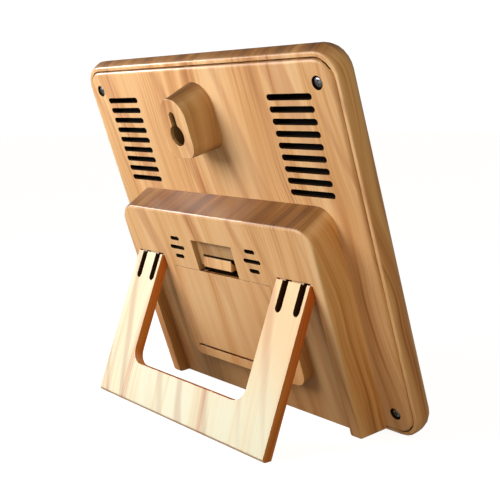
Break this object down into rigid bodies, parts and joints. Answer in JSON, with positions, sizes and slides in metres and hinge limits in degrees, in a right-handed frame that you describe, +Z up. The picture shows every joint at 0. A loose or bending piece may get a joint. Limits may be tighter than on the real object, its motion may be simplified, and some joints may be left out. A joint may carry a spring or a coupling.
{
  "type": "digital photo frame",
  "caption": "Square wood-grain plastic tabletop display, leaning on a fold-out U-shaped kickstand, with a raised battery block, vent slots and a keyhole boss on its back.",
  "frame": {"origin": "centre of the bounding box at its base, on the table plane the case and the kickstand's foot stand on", "axes": "+X to the left as seen from behind, across the display; +Y to the rear, where the kickstand stands; +Z up. The screen faces -Y and leans back by 19.2 degrees"},
  "size_m": [0.2064, 0.0876, 0.1886],
  "materials": {
    "wood_print": "printed light wood grain, satin",
    "pale_wood_print": "printed pale wood grain, satin",
    "window_glass": "clear window, black-edged, polished",
    "gasket_rubber": "matt black foam rubber",
    "lcd": "dark polarised display glass, switched off",
    "light_guide": "clear acrylic",
    "plated_sheet": "nickel-plated sheet and wire",
    "circuit_board": "green solder mask",
    "black_plastic": "moulded, matt black",
    "flex_film": "amber film",
    "cell_wrap": "plain shrink wrap over a steel can",
    "wire_red": "insulated wire",
    "wire_black": "insulated wire",
    "screw_steel": "nickel-plated, polished"
  },
  "bodies": {
    "case": {"front_shell": "wood_print", "rear_cover": "wood_print", "display_window": "window_glass", "cover_screw_1": "screw_steel", "cover_screw_2": "screw_steel", "cover_screw_3": "screw_steel", "cover_screw_4": "screw_steel", "window_gasket": "gasket_rubber", "lcd_panel": "lcd", "light_guide": "light_guide", "display_bracket": "black_plastic", "main_board": "circuit_board", "board_controller": "black_plastic", "display_flex": "flex_film", "sensor_board": "circuit_board", "buzzer": "black_plastic", "cell_upper": "cell_wrap", "cell_middle": "cell_wrap", "cell_lower": "cell_wrap", "contact_positive": "plated_sheet", "contact_bridge_right": "plated_sheet", "contact_bridge_left": "plated_sheet", "contact_negative": "plated_sheet", "battery_wire_positive": "wire_red", "battery_wire_negative": "wire_black", "board_screw_1": "screw_steel", "board_screw_2": "screw_steel", "board_screw_3": "screw_steel", "board_screw_4": "screw_steel"},
    "kickstand": {"kickstand": "pale_wood_print"},
    "battery_door": {"battery_door": "wood_print"},
    "door_latch": {"door_latch": "wood_print"}
  },
  "joints": [
    {"name": "kickstand_hinge", "type": "hinge", "parent": "case", "child": "kickstand", "pos_m": [0, 0.01059, 0.08064], "axis": [1, 0, 0], "range_deg": [-39.6, 0]},
    {"name": "battery_door_hinge", "type": "hinge", "parent": "case", "child": "battery_door", "pos_m": [0, -0.0056, 0.02729], "axis": [-1, 0, 0], "range_deg": [0, 55]},
    {"name": "door_latch_slide", "type": "slide", "parent": "battery_door", "child": "door_latch", "axis": [0, -0.3289, -0.9444], "range_m": [0, 0.0012], "stiffness_N_per_m": 500}
  ]
}
